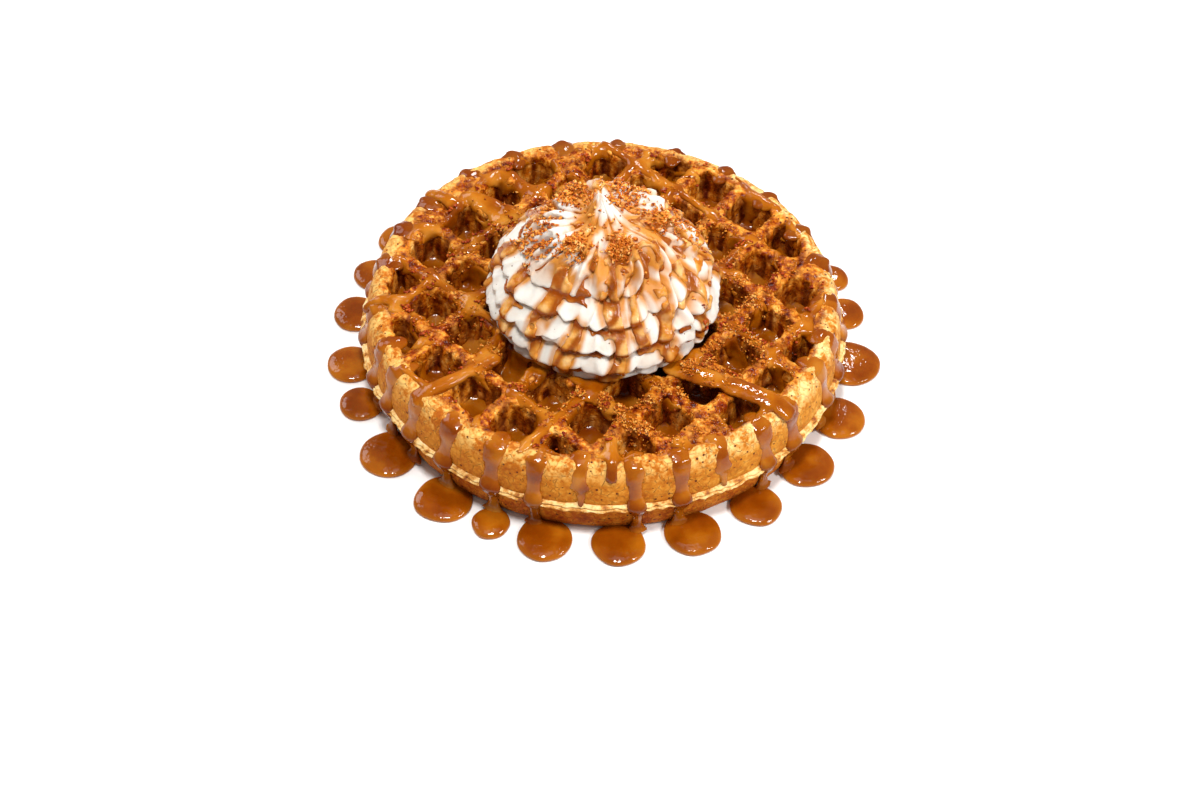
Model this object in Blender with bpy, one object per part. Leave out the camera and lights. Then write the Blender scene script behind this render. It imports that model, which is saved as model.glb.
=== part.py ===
"""A round Belgian waffle under caramel sauce, with a piped swirl of whipped cream on it.

Metres, +Z up. The origin is the middle of the waffle's underside, and -Y is the side that faces
the viewer. The waffle carries a grid of pockets on both faces and the sauce that runs down its
wall, the swirl is one rope of cream wound up to a peak, and each puddle of sauce is its own piece.
"""

import math
import random

import bmesh
import bpy
from mathutils import Matrix, Vector, noise

# The waffle's body
SEAM_RADIUS = 0.0950      # the thin lip where the two halves of the iron met
WAFFLE_HEIGHT = 0.0340
SEAM_HEIGHT = 0.0160
WALL_RADIUS = 0.0924      # upper wall just above the seam
RIM_RADIUS = 0.0862       # where the wall's rounded edge reaches the top
FOOT_RADIUS = 0.0868      # where the lower wall's rounded edge reaches the underside
PANEL_COUNT = 36          # shallow pillows that the wall is divided into
PANEL_STEPS = 2
PANEL_DEPTH = 0.0009
CRUST_WOBBLE = 0.0007     # how far the baked shape strays from the iron's
CRUST_WOBBLE_SIZE = 0.022

# The grid of pockets
GRID_PITCH = 0.0209
GRID_ANGLE = math.radians(50.6)
GRID_SKEW = math.radians(5.0)
GRID_CORNER = Vector((0.0049, -0.0036))   # one crossing of the ridges
INNER_RIM_RADIUS = 0.0836
SMALLEST_POCKET = 0.30    # share of a pocket that has to lie inside the rim
POCKET_FLOOR_SIDE = 0.0128
POCKET_MOUTH_SIDE = 0.0154
POCKET_FLARE = 0.0011     # rounding of the ridges' upper edges
POCKET_CORNER = 0.0026
POOL_LEVEL = 0.0196       # the sauce in the pockets
LOWER_POCKET_DEPTH = 0.0085

# The sauce on the wall
RUN_HALF_WIDTH = 0.0037
RUN_THICKNESS = 0.0019
RUN_SECTION = ((-1.0, -0.5), (-0.55, 0.85), (0.55, 0.85), (1.0, -0.5))
RUN_BEARINGS = (
    0, 15, 27, 42, 57, 72, 88, 103, 117, 131, 146, 158, 171, 187, 201, 210, 220.5,
    232, 245, 255.5, 266, 279, 289.5, 300, 312.5, 321.5, 337.5, 347,
)
FEEDS_WITHIN = 6.5        # degrees between a run's bearing and that of the puddle it reaches

# The puddles: bearing in degrees from +X, distance from the axis and radius in millimetres
PUDDLES = (
    (359, 99.0, 11.8), (15, 100.5, 8.4), (26.5, 103.5, 7.4), (42, 100.0, 8.4),
    (57, 98.5, 9.2), (72, 99.5, 8.0), (88, 98.0, 9.6), (103, 99.5, 8.4),
    (117, 98.5, 9.0), (131, 99.0, 8.2), (145.5, 104.5, 8.6), (158, 101.5, 8.8),
    (171, 100.5, 9.4), (187, 99.5, 9.5), (199.5, 98.5, 8.4), (216, 98.5, 11.4),
    (234, 97.8, 11.0), (246.5, 98.0, 7.3), (259, 98.4, 10.4), (275, 98.0, 10.2),
    (291.5, 97.8, 10.6), (308, 97.0, 9.8), (325, 97.0, 10.8), (341.5, 97.4, 10.6),
)
PUDDLE_HEIGHT = 0.0026
PUDDLE_SIDES = 12
FIT_GAP = 0.0003          # what separate pieces keep between them

# The whipped cream
CREAM_CENTRE = Vector((-0.0005, -0.0040))
CREAM_BASE = WAFFLE_HEIGHT + FIT_GAP
CREAM_RADIUS = 0.0460     # what the cream covers of the waffle
# Turns of the piping nozzle, radius of its ridge there and height above the waffle
CREAM_SPIRAL = (
    (-1.1, 0.0415, -0.0097), (0.0, 0.0430, 0.0000), (1.0, 0.0455, 0.0088),
    (2.0, 0.0425, 0.0173), (3.0, 0.0352, 0.0253), (4.0, 0.0254, 0.0326),
    (5.0, 0.0140, 0.0395), (6.0, 0.0046, 0.0462), (7.0, 0.0008, 0.0524),
)
CREAM_COLUMNS = 42
# Across one ridge: share of its height, and share of the groove's depth
CREAM_RIDGE = ((0.0, 1.0), (0.16, 0.36), (0.38, 0.0), (0.72, 0.34))
CREAM_GROOVE = 0.0046
CREAM_WAVE = 0.0030       # how far a ridge's edge swings in and out
CREAM_WAVE_SIZE = 0.011
PEAK_LEAN = Vector((0.0034, 0.0006))
STREAK_BEARINGS = (209, 236, 254, 275, 303, 334, 5, 40, 76, 112, 148, 180)
STREAK_HALF_WIDTH = 0.0033
STREAK_THICKNESS = 0.0018


def clear_scene():
    for item in list(bpy.data.objects):
        bpy.data.objects.remove(item, do_unlink=True)


def material(name, colour, roughness):
    made = bpy.data.materials.new(name)
    made.use_nodes = True
    shader = made.node_tree.nodes["Principled BSDF"]
    shader.inputs["Base Color"].default_value = (*colour, 1.0)
    shader.inputs["Roughness"].default_value = roughness
    shader.inputs["Metallic"].default_value = 0.0
    return made


def add_object(name, shape, finish=None, collection=None):
    """Turns a bmesh into an object, with every face pointing out."""
    bmesh.ops.recalc_face_normals(shape, faces=shape.faces)
    mesh = bpy.data.meshes.new(name)
    shape.to_mesh(mesh)
    shape.free()
    made = bpy.data.objects.new(name, mesh)
    (collection or bpy.context.scene.collection).objects.link(made)
    if finish:
        mesh.materials.append(finish)
    return made


def bridge(shape, rings):
    """Joins closed rings of points one after another and caps both ends."""
    loops = [[shape.verts.new(point) for point in ring] for ring in rings]
    for low, high in zip(loops, loops[1:]):
        for i, point in enumerate(low):
            j = (i + 1) % len(low)
            shape.faces.new((point, low[j], high[j], high[i]))
    shape.faces.new(loops[0])
    shape.faces.new(loops[-1])


def combine(target, operation, others):
    """Applies one Boolean of a list of helper objects to the target and removes them."""
    group = bpy.data.collections.new("helpers")
    bpy.context.scene.collection.children.link(group)
    for other in others:
        for owner in list(other.users_collection):
            owner.objects.unlink(other)
        group.objects.link(other)
    cut = target.modifiers.new(operation.lower(), "BOOLEAN")
    cut.operand_type = "COLLECTION"
    cut.collection = group
    cut.operation = operation
    cut.solver = "EXACT"
    graph = bpy.context.evaluated_depsgraph_get()
    result = bpy.data.meshes.new_from_object(target.evaluated_get(graph))
    target.modifiers.clear()
    target.data = result
    for other in others:
        bpy.data.objects.remove(other, do_unlink=True)
    bpy.data.collections.remove(group)


def polar(radius, angle, height=0.0):
    return Vector((radius * math.cos(angle), radius * math.sin(angle), height))


# The waffle

def wall_profile():
    """Radius and height of the wall, from the underside over the seam to the top."""
    lower = WALL_RADIUS - 0.0014
    return (
        (FOOT_RADIUS, 0.0),
        (lower - 0.0012, 0.0024),
        (lower + 0.0002, SEAM_HEIGHT - 0.0014),
        (SEAM_RADIUS - 0.0004, SEAM_HEIGHT - 0.0005),
        (SEAM_RADIUS, SEAM_HEIGHT + 0.0002),
        (WALL_RADIUS, SEAM_HEIGHT + 0.0014),
        (WALL_RADIUS - 0.0010, 0.0275),
        (WALL_RADIUS - 0.0034, 0.0324),
        (RIM_RADIUS, WAFFLE_HEIGHT),
    )


def panel_bulge(angle):
    """0 in the groove between two of the wall's pillows, 1 on the middle of one."""
    return abs(math.sin(angle * PANEL_COUNT / 2)) ** 0.6


def waffle_blank():
    steps = PANEL_COUNT * PANEL_STEPS
    shape = bmesh.new()
    rings = []
    for radius, height in wall_profile():
        ring = []
        for i in range(steps):
            angle = math.tau * i / steps
            ring.append(polar(radius - PANEL_DEPTH * (1 - panel_bulge(angle)), angle, height))
        rings.append(ring)
    bridge(shape, rings)
    return add_object("waffle", shape, material("baked_batter", (0.72, 0.40, 0.13), 0.7))


def grid_directions():
    half = GRID_SKEW / 2
    along = GRID_ANGLE + half
    across = GRID_ANGLE - half
    return (
        Vector((math.cos(along), math.sin(along))),
        Vector((-math.sin(across), math.cos(across))),
    )


def share_inside(centre, first, second):
    """How much of a pocket's mouth lies inside the rim, by a coarse grid of tests."""
    tests = 6
    inside = 0
    for i in range(tests):
        for j in range(tests):
            u = (i + 0.5) / tests - 0.5
            v = (j + 0.5) / tests - 0.5
            point = centre + (first * u + second * v) * POCKET_MOUTH_SIDE
            inside += point.length < INNER_RIM_RADIUS
    return inside / tests ** 2


def pocket_centres():
    first, second = grid_directions()
    reach = math.ceil(SEAM_RADIUS / GRID_PITCH) + 1
    found = []
    for i in range(-reach, reach + 1):
        for j in range(-reach, reach + 1):
            centre = GRID_CORNER + (first * (i + 0.5) + second * (j + 0.5)) * GRID_PITCH
            if share_inside(centre, first, second) > SMALLEST_POCKET:
                found.append(centre)
    return found


def pocket_ring(centre, side, height, corner):
    """A square in the grid's own directions, with its corners cut off where corner isn't 0."""
    first, second = grid_directions()
    half = side / 2
    ring = []
    for u, v in ((1, 1), (-1, 1), (-1, -1), (1, -1)):
        ends = [(half * u, half * v)]
        if corner:
            ends = [(half * u, (half - corner) * v), ((half - corner) * u, half * v)]
            if u * v < 0:
                ends.reverse()
        for along, across in ends:
            place = centre + first * along + second * across
            ring.append(Vector((place.x, place.y, height)))
    return ring


def pocket_cutter(centre, levels):
    shape = bmesh.new()
    bridge(shape, [pocket_ring(centre, *level) for level in levels])
    return add_object("pocket_cutter", shape)


def upper_levels():
    """A pocket's side, height and cut corner, from the sauce in it to above the ridges."""
    return (
        (POCKET_FLOOR_SIDE, POOL_LEVEL, POCKET_CORNER),
        (POCKET_MOUTH_SIDE, WAFFLE_HEIGHT - 0.0018, POCKET_CORNER),
        (POCKET_MOUTH_SIDE + 4 * POCKET_FLARE, WAFFLE_HEIGHT + 0.0012, POCKET_CORNER),
    )


def lower_levels():
    return (
        (POCKET_MOUTH_SIDE + POCKET_FLARE, -0.0010, 0.0),
        (POCKET_FLOOR_SIDE, LOWER_POCKET_DEPTH, 0.0),
    )


def rim_plug(low, high, radius_low, radius_high):
    """What the rim leaves free inside it, as a turned solid with a draft."""
    steps = 72
    shape = bmesh.new()
    bridge(shape, [
        [polar(radius, math.tau * i / steps, height) for i in range(steps)]
        for radius, height in ((radius_low, low), (radius_high, high))
    ])
    return add_object("rim_plug", shape)


def pockets(levels, plug_low, plug_high):
    """All pockets of one face as one helper, kept inside the rim."""
    cutters = [pocket_cutter(centre, levels) for centre in pocket_centres()]
    joined = bmesh.new()
    for cutter in cutters:
        joined.from_mesh(cutter.data)
        bpy.data.objects.remove(cutter, do_unlink=True)
    made = add_object("pockets", joined)
    plug = rim_plug(levels[0][1] - 0.001, levels[-1][1] + 0.001, plug_low, plug_high)
    combine(made, "INTERSECT", [plug])
    return made


def wobble(waffle):
    """Moves the crust a little, but not its foot and not what carries the cream."""
    centre = Vector((CREAM_CENTRE.x, CREAM_CENTRE.y))
    for point in waffle.data.vertices:
        place = point.co
        above_foot = min(1.0, max(0.0, (place.z - 0.001) / 0.006))
        from_cream = (place.xy - centre).length - CREAM_RADIUS
        bare = 1.0 if place.z < POOL_LEVEL else min(1.0, max(0.0, (from_cream - 0.002) / 0.010))
        shift = noise.noise_vector(place / CRUST_WOBBLE_SIZE)
        point.co = place + shift * CRUST_WOBBLE * above_foot * bare


# The sauce that runs down the wall

def run_path(reach):
    """Radius and height along a run of sauce, from the rim's top down to the given height."""
    stations = [
        (RIM_RADIUS - 0.0040, WAFFLE_HEIGHT - 0.0004),
        (RIM_RADIUS + 0.0014, WAFFLE_HEIGHT - 0.0010),
        (WALL_RADIUS - 0.0022, WAFFLE_HEIGHT - 0.0050),
        (WALL_RADIUS - 0.0008, 0.0220),
        (SEAM_RADIUS - 0.0012, SEAM_HEIGHT + 0.0012),
        (SEAM_RADIUS - 0.0016, SEAM_HEIGHT - 0.0022),
    ]
    if reach < SEAM_HEIGHT - 0.006:
        stations.append((WALL_RADIUS - 0.0018, SEAM_HEIGHT - 0.0060))
        stations.append((WALL_RADIUS - 0.0020, reach))
    return stations


def run_width(step, count, wide):
    """A run is broad on the rim, thin on the wall and swells over the seam."""
    swell = (1.15, 1.25, 0.98, 0.90, 1.18, 0.95, 0.72, 0.66)
    return wide * swell[min(step, len(swell) - 1)] * (0.8 if step == count - 1 else 1.0)


def sauce_run(bearing, wide, reach):
    stations = run_path(reach)
    outward = polar(1.0, bearing)
    sideways = polar(1.0, bearing + math.pi / 2)
    rings = []
    for step, (radius, height) in enumerate(stations):
        before = stations[max(step - 1, 0)]
        after = stations[min(step + 1, len(stations) - 1)]
        along = Vector((after[0] - before[0], after[1] - before[1])).normalized()
        normal = outward * -along.y + Vector((0, 0, along.x))
        half = run_width(step, len(stations), wide)
        ring = []
        for across, out in RUN_SECTION:
            ring.append(
                outward * radius + Vector((0, 0, height))
                + sideways * half * across
                + normal * RUN_THICKNESS * out
            )
        rings.append(ring)
    shape = bmesh.new()
    bridge(shape, rings)
    return add_object("sauce_run", shape)


def sauce_runs():
    """Runs that end just above a puddle, or at the seam where there is no puddle below."""
    draw = random.Random(7)
    runs = []
    for bearing in RUN_BEARINGS:
        wide = RUN_HALF_WIDTH * draw.uniform(0.85, 1.12)
        off = min(abs((bearing - row[0] + 180) % 360 - 180) for row in PUDDLES)
        reach = PUDDLE_HEIGHT + 2 * FIT_GAP if off < FEEDS_WITHIN else SEAM_HEIGHT
        runs.append(sauce_run(math.radians(bearing), wide, reach))
    return runs


def make_waffle():
    waffle = waffle_blank()
    upper = pockets(upper_levels(), INNER_RIM_RADIUS - 0.0022, INNER_RIM_RADIUS)
    lower = pockets(lower_levels(), INNER_RIM_RADIUS, INNER_RIM_RADIUS - 0.0014)
    combine(waffle, "DIFFERENCE", [upper, lower])
    wobble(waffle)
    combine(waffle, "UNION", sauce_runs())
    return waffle


# The puddles

def puddle_ring(radius, height):
    return [polar(radius, math.tau * i / PUDDLE_SIDES, height) for i in range(PUDDLE_SIDES)]


def make_puddle(number, bearing, distance, radius, finish):
    """A low dome of sauce, cut where the waffle's foot stands in it."""
    shape = bmesh.new()
    bridge(shape, [
        puddle_ring(radius, 0.0),
        puddle_ring(radius * 0.90, 0.62 * PUDDLE_HEIGHT),
        puddle_ring(radius * 0.50, PUDDLE_HEIGHT),
    ])
    puddle = add_object(f"caramel_puddle_{number:02d}", shape, finish)
    puddle.data.transform(Matrix.Translation(polar(distance, bearing)))
    foot = bmesh.new()
    below = (FOOT_RADIUS, -0.001)
    bridge(foot, [
        [polar(wide + 2 * FIT_GAP, math.tau * i / PANEL_COUNT, height) for i in range(PANEL_COUNT)]
        for wide, height in (below,) + wall_profile()[:3]
    ])
    combine(puddle, "DIFFERENCE", [add_object("foot", foot)])
    return puddle


# The whipped cream

def spiral_at(turn):
    """Radius and height of the spiral after a number of turns."""
    for low, high in zip(CREAM_SPIRAL, CREAM_SPIRAL[1:]):
        if turn <= high[0]:
            break
    share = (turn - low[0]) / (high[0] - low[0])
    return low[1] + (high[1] - low[1]) * share, low[2] + (high[2] - low[2]) * share


def streak_cover(bearing, radius):
    """1 under the middle of a streak of sauce, 0 beside it."""
    nearest = min(
        abs((bearing - math.radians(streak) + math.pi) % math.tau - math.pi)
        for streak in STREAK_BEARINGS
    )
    return max(0.0, 1.0 - nearest * radius / (2 * STREAK_HALF_WIDTH))


def cream_point(bearing, turn, groove):
    radius, height = spiral_at(turn)
    depth = CREAM_GROOVE * min(1.0, radius / 0.020)
    edge = Vector((radius * math.cos(bearing), radius * math.sin(bearing), height))
    wave = noise.noise(edge / CREAM_WAVE_SIZE) * CREAM_WAVE * min(1.0, radius / 0.020)
    streak = STREAK_THICKNESS * streak_cover(bearing, radius) * min(1.0, radius / 0.012)
    reach = max(0.0006, radius + wave * (1 - groove) - depth * groove * 0.9 + streak)
    lean = PEAK_LEAN * max(0.0, (height - 0.036) / 0.016) ** 1.5
    flat = polar(reach, bearing)
    return Vector((
        CREAM_CENTRE.x + lean.x + flat.x,
        CREAM_CENTRE.y + lean.y + flat.y,
        CREAM_BASE + height,
    ))


def make_cream():
    """One ridge wound up to the peak. Each column meets the one a turn further up."""
    start, end = CREAM_SPIRAL[0][0], CREAM_SPIRAL[-1][0]
    rows = len(CREAM_RIDGE)
    levels = rows * math.floor(end - start)
    shape = bmesh.new()
    grid = {}
    for i in range(CREAM_COLUMNS + 1):
        for j in range(levels + 1):
            share, groove = CREAM_RIDGE[j % rows]
            turned = start + i / CREAM_COLUMNS
            turn = turned + j // rows + share
            if turn <= end and (i < CREAM_COLUMNS or j > levels - rows):
                grid[i, j] = shape.verts.new(cream_point(math.tau * turned, turn, groove))
    for j in range(levels + 1 - rows):
        grid[CREAM_COLUMNS, j] = grid[0, j + rows]
    for i in range(CREAM_COLUMNS):
        for j in range(levels):
            corners = [(i, j), (i + 1, j), (i + 1, j + 1), (i, j + 1)]
            if all(corner in grid for corner in corners):
                shape.faces.new([grid[corner] for corner in corners])
    close_ends(shape)
    cream = add_object("whipped_cream", shape, material("whipped_cream", (0.93, 0.88, 0.78), 0.5))
    combine(cream, "DIFFERENCE", [flat_bottom()])
    return cream


def close_ends(shape):
    """Closes the open loop at each end of the spiral with a fan of faces."""
    bmesh.ops.remove_doubles(shape, verts=shape.verts, dist=0.00001)
    edges = [edge for edge in shape.edges if edge.is_boundary]
    for low in (True, False):
        loop = [edge for edge in edges if (edge.verts[0].co.z < CREAM_BASE + 0.01) == low]
        height = (min if low else max)(edge.verts[0].co.z for edge in loop)
        points = {vertex for edge in loop for vertex in edge.verts}
        middle = sum((vertex.co for vertex in points), Vector()) / len(points)
        middle.z = height
        tip = shape.verts.new(middle)
        for edge in loop:
            shape.faces.new((*edge.verts, tip))


def flat_bottom():
    """Takes away what would hang into the waffle."""
    shape = bmesh.new()
    bmesh.ops.create_cube(shape, size=2 * CREAM_RADIUS * 1.2)
    below = CREAM_BASE - CREAM_RADIUS * 1.2
    bmesh.ops.translate(shape, verts=shape.verts, vec=(CREAM_CENTRE.x, CREAM_CENTRE.y, below))
    return add_object("below_cream", shape)


def main():
    clear_scene()
    make_waffle()
    make_cream()
    sauce = material("caramel_sauce", (0.55, 0.22, 0.03), 0.15)
    for number, (bearing, distance, radius) in enumerate(PUDDLES, start=1):
        make_puddle(number, math.radians(bearing), distance / 1000, radius / 1000, sauce)


main()
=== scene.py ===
# %% [markdown]
# # A Belgian waffle under caramel, with whipped cream
# The waffle is baked batter, the sauce is a thick sugar syrup that hangs, pools and shines, and
# the cream is a soft foam that keeps the marks of its nozzle. Each is shaped in its own way: the
# waffle is cut from a turned blank, the sauce is pieced together from slabs, films, drops and
# strands that are melted into one skin, and the cream is a turned cone whose points are pushed
# into shelves and flutes.
# The frame below holds the plain solids. What is made here is laid over them, at their size.

# %% Load the frame
import math
import random

import bpy
from mathutils import Matrix, Vector, noise
from mathutils.bvhtree import BVHTree


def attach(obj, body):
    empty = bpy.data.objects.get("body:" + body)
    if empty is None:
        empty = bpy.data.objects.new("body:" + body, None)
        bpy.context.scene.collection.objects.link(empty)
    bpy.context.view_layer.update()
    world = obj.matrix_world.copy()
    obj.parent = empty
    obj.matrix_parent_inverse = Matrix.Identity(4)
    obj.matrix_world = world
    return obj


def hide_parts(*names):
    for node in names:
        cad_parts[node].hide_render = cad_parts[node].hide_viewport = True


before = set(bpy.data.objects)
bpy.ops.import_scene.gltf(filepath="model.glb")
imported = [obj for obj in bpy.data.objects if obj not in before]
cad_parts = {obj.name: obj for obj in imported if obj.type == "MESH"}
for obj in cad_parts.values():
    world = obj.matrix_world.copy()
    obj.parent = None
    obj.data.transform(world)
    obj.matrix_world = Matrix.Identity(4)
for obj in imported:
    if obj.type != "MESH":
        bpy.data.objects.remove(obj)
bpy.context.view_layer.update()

# %% [markdown]
# ## Small helpers
# Blender's operators act on whatever is selected, so every step starts by choosing its piece.

# %% Helpers for choosing, copying and joining
MM = 0.001


def choose(*pieces):
    """Selects only these pieces and makes the last one active."""
    bpy.ops.object.select_all(action="DESELECT")
    for piece in pieces:
        piece.select_set(True)
    bpy.context.view_layer.objects.active = pieces[-1]


def apply_modifier(piece, kind, **settings):
    """Adds one modifier, with its settings, and applies it."""
    choose(piece)
    modifier = piece.modifiers.new(kind.lower(), kind)
    for setting, value in settings.items():
        setattr(modifier, setting, value)
    bpy.ops.object.modifier_apply(modifier=modifier.name)


def copy_of(piece, matrix=None):
    """A copy with its own mesh, moved by a matrix."""
    made = piece.copy()
    made.data = piece.data.copy()
    if matrix is not None:
        made.data.transform(matrix)
    bpy.context.scene.collection.objects.link(made)
    return made


def join(name, pieces):
    """Makes one object of several."""
    choose(*pieces)
    if len(pieces) > 1:
        bpy.ops.object.join()
    joined = bpy.context.object
    joined.name = name
    return joined


def remove(*pieces):
    for piece in pieces:
        bpy.data.objects.remove(piece, do_unlink=True)


def primitive(name, add_shape, location=(0, 0, 0), **sizes):
    """Adds one of Blender's primitives with nothing else selected."""
    bpy.ops.object.select_all(action="DESELECT")
    add_shape(location=location, **sizes)
    made = bpy.context.object
    made.name = name
    return made


def linked(name, data):
    """An object of that mesh, lamp or camera, put in the scene."""
    made = bpy.data.objects.new(name, data)
    bpy.context.scene.collection.objects.link(made)
    return made


def placed(shape, centre, sizes, bearing=0.0):
    """A copy of a shape, stretched along its axes, turned about Z and moved to a place."""
    turn = Matrix.Rotation(bearing, 4, "Z")
    return copy_of(shape, Matrix.Translation(centre) @ turn @ Matrix.Diagonal((*sizes, 1)))


def edit(piece, kind, wanted):
    """Opens a piece in edit mode with only the wanted points, edges or faces selected."""
    choose(piece)
    bpy.ops.object.mode_set(mode="EDIT")
    bpy.ops.mesh.select_mode(type=kind)
    bpy.ops.mesh.select_all(action="DESELECT")
    bpy.ops.object.mode_set(mode="OBJECT")
    mesh = piece.data
    for part in {"VERT": mesh.vertices, "EDGE": mesh.edges, "FACE": mesh.polygons}[kind]:
        part.select = wanted(part)
    bpy.ops.object.mode_set(mode="EDIT")


# %% Helpers for soft, melted shapes
def melt(piece, grain, rounds):
    """Melts all that overlaps in a mesh into one even skin, then relaxes it."""
    apply_modifier(piece, "REMESH", mode="VOXEL", voxel_size=grain, adaptivity=0.0)
    apply_modifier(piece, "SMOOTH", factor=0.5, iterations=rounds)


def push(piece, offset):
    """Moves every point by what offset gives for its place and normal."""
    normals = [vertex.normal.copy() for vertex in piece.data.vertices]
    for vertex, normal in zip(piece.data.vertices, normals):
        vertex.co += offset(vertex.co, normal)
    piece.data.update()


def mark(piece, name, values):
    """Stores one number per point, which a material or a later step can read."""
    layer = piece.data.attributes.new(name, "FLOAT", "POINT")
    layer.data.foreach_set("value", values)


def film(name, source, thick):
    """Sauce that clings: the source's faces where its sauce mark says so, made thick."""
    made = copy_of(source)
    made.name = name
    bare = [sauced.value < 0.5 for sauced in made.data.attributes["sauce"].data]
    edit(made, "VERT", lambda vertex: bare[vertex.index])
    bpy.ops.mesh.delete(type="VERT")
    bpy.ops.object.mode_set(mode="OBJECT")
    apply_modifier(made, "SOLIDIFY", thickness=thick, offset=0.0)
    return made


def polar(radius, bearing, height=0.0):
    """A point by its distance from the axis, its bearing from +X in radians and its height."""
    return Vector((radius * math.cos(bearing), radius * math.sin(bearing), height))


def ease(low, high, value):
    """0 below low, 1 above high, and a soft step between them."""
    share = min(1.0, max(0.0, (value - low) / (high - low)))
    return share * share * (3 - 2 * share)


def between(rows, key, value, wanted):
    """Reads one column of a table at a value of another, in straight steps between rows."""
    for low, high in zip(rows, rows[1:]):
        if value <= high[key]:
            break
    share = (value - low[key]) / (high[key] - low[key])
    return low[wanted] + (high[wanted] - low[wanted]) * share


def bumps(place, size):
    """Smooth noise, from about -1 to 1, whose bumps are that many millimetres apart."""
    return noise.noise(place / (size * MM))


def triangles(piece):
    piece.data.calc_loop_triangles()
    return len(piece.data.loop_triangles)


def finish(piece, material, slot=None, *nodes):
    """Gives a piece its material, its place in the frame and the solids that it stands for."""
    piece.data.materials.clear()
    piece.data.materials.append(material)
    choose(piece)
    bpy.ops.object.shade_smooth()
    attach(piece, "root")
    if nodes:
        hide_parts(*nodes)
    print(piece.name, triangles(piece), "triangles")


# %% [markdown]
# ## Turning
# Most round forms here start as a flat disc that is pulled up ring by ring. Each pull is an
# extrude followed by a resize, which is how one would turn a bowl by hand in edit mode. A row is
# a radius and a height, counted in the unit that goes with the rows.

# %% A helper that turns a solid from rows of radius and height
def turned(name, rows, steps, unit=1.0):
    """A closed solid with that many steps round it, one ring of points for each row."""
    rows = [(radius * unit, height * unit) for radius, height in rows]
    radius, height = rows[0]
    piece = primitive(name, bpy.ops.mesh.primitive_circle_add, (0, 0, height), vertices=steps,
                      radius=radius, fill_type="NGON")
    bpy.ops.object.transform_apply(location=True, rotation=False, scale=False)
    bpy.ops.object.mode_set(mode="EDIT")
    bpy.ops.mesh.select_all(action="SELECT")
    for (narrow, low), (wide, high) in zip(rows, rows[1:]):
        bpy.ops.mesh.extrude_region_move(TRANSFORM_OT_translate={"value": (0, 0, high - low)})
        grow = wide / narrow
        bpy.ops.transform.resize(value=(grow, grow, 1), center_override=(0, 0, high))
    bpy.ops.mesh.select_all(action="SELECT")
    bpy.ops.mesh.normals_make_consistent(inside=False)
    bpy.ops.object.mode_set(mode="OBJECT")
    return piece


# %% [markdown]
# ## Materials
# Colours are written as the hex values a painter would pick, and turned to linear light once.
# One function adds a node. Its inputs are outputs of other nodes, numbers or hex colours.

# %% Colour and node helpers
def linear(code):
    """An sRGB hex value as a linear colour with alpha."""
    parts = [int(code[i:i + 2], 16) / 255 for i in (1, 3, 5)]
    return tuple(
        part / 12.92 if part <= 0.04045 else ((part + 0.055) / 1.055) ** 2.4 for part in parts
    ) + (1.0,)


def new_material(name, **sockets):
    """A material whose shader has these constant values."""
    made = bpy.data.materials.new(name)
    made.use_nodes = True
    shader = made.node_tree.nodes["Principled BSDF"]
    for socket, value in sockets.items():
        shader.inputs[socket.replace("_", " ")].default_value = value
    return made, made.node_tree, shader


def connect(node, inputs):
    """Links a node's inputs to outputs, or sets them to numbers or hex colours."""
    for key, value in inputs.items():
        if isinstance(value, bpy.types.NodeSocket):
            node.id_data.links.new(value, node.inputs[key])
        else:
            node.inputs[key].default_value = linear(value) if isinstance(value, str) else value


def add(tree, kind, inputs=None, output=0, stops=None, **settings):
    """Adds a node with its settings, links or sets its inputs, and gives one of its outputs."""
    node = tree.nodes.new("ShaderNode" + kind)
    for setting, value in settings.items():
        setattr(node, setting, value)
    connect(node, inputs or {})
    if stops:
        marks = node.color_ramp.elements
        marks[0].position, marks[1].position = stops[0][0], stops[-1][0]
        marks[0].color, marks[1].color = linear(stops[0][1]), linear(stops[-1][1])
        for position, code in stops[1:-1]:
            marks.new(position).color = linear(code)
    return node.outputs[output]


def per_mm(size):
    """A pattern's scale from the size of one of its features in millimetres."""
    return 1 / (size * MM)


# %% [markdown]
# ### Baked batter
# The crust is a dry sponge of flour, egg and sugar, toasted golden where the iron pressed it and
# pale where the batter squeezed out. Vanilla seeds and burnt sugar speckle it. On the top face it
# has soaked up sauce, so it is darker and wetter. The deeper one looks into a pocket, the darker
# it
# is painted, nearly black in the corners: that is painted shade. Two marks on the mesh tell the
# material where: one says how soaked a point is, the other how much painted shade it gets.

# %% The crust's measures
SEAM_RADIUS = 95.0 * MM
RIM_RADIUS = 86.2 * MM
WAFFLE_HEIGHT = 34.0 * MM
SEAM_HEIGHT = 16.0 * MM
POOL_LEVEL = 19.6 * MM
INNER_RIM = 83.6 * MM
print("waffle", round(2 * SEAM_RADIUS / MM), "mm across,", round(WAFFLE_HEIGHT / MM), "mm high")


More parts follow.
